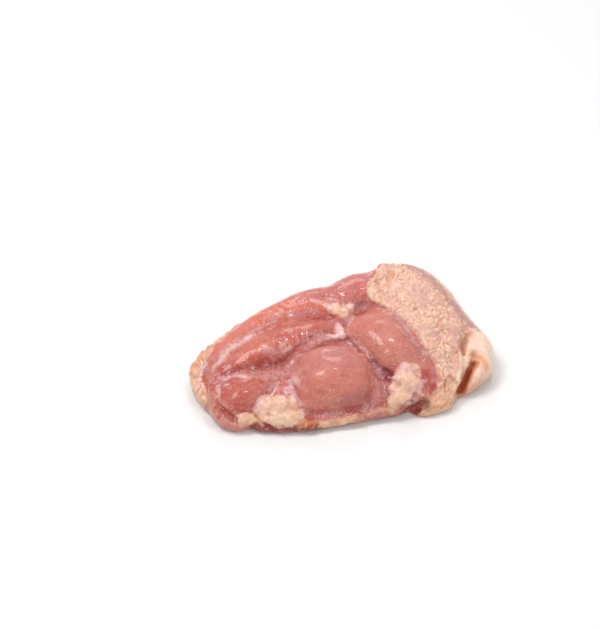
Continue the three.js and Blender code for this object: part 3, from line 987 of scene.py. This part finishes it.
    surface.keep_colour("tissue", colour)
    surface.keep("fat", np.maximum(fat, rim))
    surface.keep("skin", skin)
    surface.keep("net", rough_skin)
    surface.keep("film", film)


# ---- Material ----


class Signal:
    """A socket in a material. Arithmetic on it adds Math nodes."""

    def __init__(self, shader, socket):
        self.shader = shader
        self.socket = socket

    def math(self, operation, *values):
        return self.shader.node("Math", {"operation": operation}, dict(enumerate(values)))

    def __add__(self, other):
        return self.math("ADD", self, other)

    def __mul__(self, other):
        return self.math("MULTIPLY", self, other)

    def __sub__(self, other):
        return self.math("SUBTRACT", self, other)

    def __rsub__(self, other):
        return self.math("SUBTRACT", other, self)

    def sine(self):
        return self.math("SINE", self)

    def size(self):
        return self.math("ABSOLUTE", self)

    __radd__ = __add__
    __rmul__ = __mul__


class Shader:
    """A material that is put together node by node."""

    def __init__(self, name):
        self.material = bpy.data.materials.new(name)
        self.material.use_nodes = True
        self.tree = self.material.node_tree
        self.tree.nodes.clear()

    def node(self, kind, settings, inputs, output=0):
        made = self.tree.nodes.new("ShaderNode" + kind)
        for key, value in settings.items():
            setattr(made, key, value)
        for key, value in inputs.items():
            if isinstance(value, Signal):
                self.tree.links.new(value.socket, made.inputs[key])
            else:
                made.inputs[key].default_value = value
        return Signal(self, made.outputs[output]) if made.outputs else None

    def mix(self, share, first, second, blend="MIX"):
        settings = {"data_type": "RGBA", "blend_type": blend}
        return self.node("Mix", settings, {0: share, 6: first, 7: second}, 2)

    def ramp(self, value, low, high):
        """0 where a value is below low, 1 where it is above high."""
        return self.node("MapRange", {"interpolation_type": "SMOOTHSTEP"}, {0: value, 1: low, 2: high})

    def painted(self, name, output="Fac"):
        """What is stored on the vertices under a name."""
        return self.node("Attribute", {"attribute_name": name}, {}, output)


def rgba(tone):
    return (*linear(tone), 1.0)


MOTTLE_DARK = rgba((190, 108, 98))
MOTTLE_LIGHT = rgba((244, 200, 184))
# pale lines on the wrinkles of the film, partly painted glints
LINE_PALE_AND_GLINT = rgba((238, 192, 186))
VEIN_PALE = rgba((240, 204, 200))
# small white specks in the meat, partly painted glints
SPECK_AND_GLINT = rgba((250, 222, 214))
MOTTLED = 0.16  # share of the dark and of the light mottling
RIPPLE_HEIGHTS = {"fine": 0.55, "coarse": 0.7, "wrinkle": 0.18, "vein": 0.08}  # in millimetres
WRINKLE_TURNS = 42  # radians that the sine goes on as the noise behind the wrinkles goes from 0 to 1
ROUGHNESS = 0.32
ROUGHNESS_VARIES = 0.16
COAT = 0.75
WATER = 1.4  # index of refraction of wet flesh


def raw_thigh_material():
    shader = Shader("raw chicken")
    node = shader.node
    place = node("TexCoord", {}, {}, "Object")
    tissue = shader.painted("tissue", "Color")
    fat, skin, net, film = (shader.painted(name) for name in ("fat", "skin", "net", "film"))
    meat = (1 - skin) * (1 - fat)

    def cloud(pitch, detail, distortion):
        """Noise whose lumps are about pitch millimetres wide."""
        inputs = {"Scale": 1 / (pitch * MM), "Detail": detail, "Roughness": 0.55, "Distortion": distortion}
        return node("TexNoise", {}, {"Vector": place, **inputs}, "Fac")

    mottle = cloud(2.4, 3.0, 0.6)
    speck_and_glint_noise = cloud(0.9, 0.0, 0.3)
    patch = shader.ramp(cloud(8.0, 1.0, 0.0), 0.42, 0.56)
    wrinkle = (cloud(6.0, 0.5, 0.6) * WRINKLE_TURNS).sine()
    wrinkled = patch * (film * 0.75 + 0.25) * meat
    line = shader.ramp(wrinkle, -0.3, 0.9) * wrinkled
    vein = 1 - shader.ramp((cloud(3.2, 1.0, 0.8) - 0.5).size(), 0.0, 0.035)

    colour = shader.mix(shader.ramp(mottle, 0.35, 0.7) * MOTTLED, tissue, MOTTLE_DARK, "MULTIPLY")
    colour = shader.mix(shader.ramp(mottle, 0.55, 0.8) * MOTTLED, colour, MOTTLE_LIGHT)
    # pale lines on the wrinkles of the film, partly painted glints
    colour = shader.mix(line * 0.45, colour, LINE_PALE_AND_GLINT)
    colour = shader.mix(vein * net * 0.5, colour, rgba(NET_AND_SHADE))
    colour = shader.mix(vein * film * 0.35, colour, VEIN_PALE)
    # small white specks in the meat, partly painted glints
    specks_and_glints = shader.ramp(speck_and_glint_noise, 0.74, 0.82) * shader.ramp(cloud(11.0, 0.0, 0.0), 0.42, 0.55) * meat
    colour = shader.mix(specks_and_glints * 0.5, colour, SPECK_AND_GLINT)

    ripples = cloud(1.2, 2.0, 1.2)
    coarse = cloud(3.2, 2.0, 0.8) * (fat * 0.5 + 1)
    height = ripples * RIPPLE_HEIGHTS["fine"] + coarse * RIPPLE_HEIGHTS["coarse"]
    height = height + wrinkle * wrinkled * RIPPLE_HEIGHTS["wrinkle"]
    height = height + vein * (film - net) * RIPPLE_HEIGHTS["vein"]
    bump = node("Bump", {}, {"Strength": 1.0, "Distance": MM, "Height": height}, "Normal")
    wet = cloud(5.0, 1.0, 0.4)
    gloss = shader.ramp(wet, 0.3, 0.7) * ROUGHNESS_VARIES + ROUGHNESS + skin * 0.02 - fat * 0.1
    surface = node(
        "BsdfPrincipled",
        {"subsurface_method": "RANDOM_WALK"},
        {
            "Base Color": colour,
            "Roughness": gloss,
            "Normal": bump,
            "IOR": WATER,
            "Subsurface Weight": 0.45,
            "Subsurface Radius": (1.0, 0.4, 0.25),
            "Subsurface Scale": 0.9 * MM,
            "Coat Weight": COAT - skin * 0.15,
            "Coat Roughness": 0.10,
            "Coat IOR": WATER,
        },
        "BSDF",
    )
    node("OutputMaterial", {}, {"Surface": surface})
    return shader.material


# ---- The part ----


def thigh():
    body = thigh_mesh()
    sculpt_and_paint(body)
    body.data.materials.append(raw_thigh_material())
    pick(body)
    bpy.ops.object.shade_smooth()
    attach(body, "root")
    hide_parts("chicken_thigh")


thigh()

# ---- Floor, light and camera ----

FLOOR_SIZE = 6  # metres
FLOOR_GREY = 0.86

# Square lamps that face the origin: place and side in metres, and power in watts.
LAMPS = {
    "key": ((-0.30, 0.20, 0.80), 0.34, 3.3),
    "fill": ((0.3, -0.6, 0.5), 0.5, 0.95),
    "sheen": ((0.35, 0.68, 0.64), 0.30, 1.2),
    "glint": ((0.20, 0.10, 0.90), 0.11, 0.9),
    "front glint": ((-0.38, -0.40, 0.78), 0.09, 0.4),
}
DAYLIGHT = 0.57

AIM = Vector((-2.6, 37.9, 12)) * MM
CAMERA_TURN = -27  # degrees from the side that faces -Y
CAMERA_RISE = 40  # degrees
CAMERA_AWAY = 1.25  # metres
LENS = 150  # focal length in millimetres


def plain_floor():
    bpy.ops.object.select_all(action="DESELECT")
    bpy.ops.mesh.primitive_plane_add(size=FLOOR_SIZE)
    floor = bpy.context.object
    floor.name = "floor"
    shader = Shader("pale floor")
    inputs = {"Base Color": (FLOOR_GREY, FLOOR_GREY, FLOOR_GREY, 1), "Roughness": 0.8}
    surface = shader.node("BsdfPrincipled", {}, inputs, "BSDF")
    shader.node("OutputMaterial", {}, {"Surface": surface})
    floor.data.materials.append(shader.material)


def lamp(name, place, side, power):
    light = bpy.data.lights.new(name, "AREA")
    light.size = side
    light.energy = power
    holder = bpy.data.objects.new(name, light)
    holder.location = place
    holder.rotation_euler = (-Vector(place)).to_track_quat("-Z", "Y").to_euler()
    bpy.context.scene.collection.objects.link(holder)


def daylight(strength):
    world = bpy.data.worlds.new("studio")
    world.use_nodes = True
    background = world.node_tree.nodes["Background"]
    background.inputs["Color"].default_value = (1, 1, 1, 1)
    background.inputs["Strength"].default_value = strength
    bpy.context.scene.world = world


def camera():
    turn = math.radians(CAMERA_TURN)
    rise = math.radians(CAMERA_RISE)
    back = Vector((math.sin(turn) * math.cos(rise), -math.cos(turn) * math.cos(rise), math.sin(rise)))
    lens = bpy.data.cameras.new("camera")
    lens.lens = LENS
    holder = bpy.data.objects.new("camera", lens)
    holder.location = AIM + back * CAMERA_AWAY
    holder.rotation_euler = (-back).to_track_quat("-Z", "Y").to_euler()
    bpy.context.scene.collection.objects.link(holder)
    bpy.context.scene.camera = holder


plain_floor()
for name, (place, side, power) in LAMPS.items():
    lamp(name, place, side, power)
daylight(DAYLIGHT)
camera()
bpy.context.scene.view_settings.view_transform = "Standard"
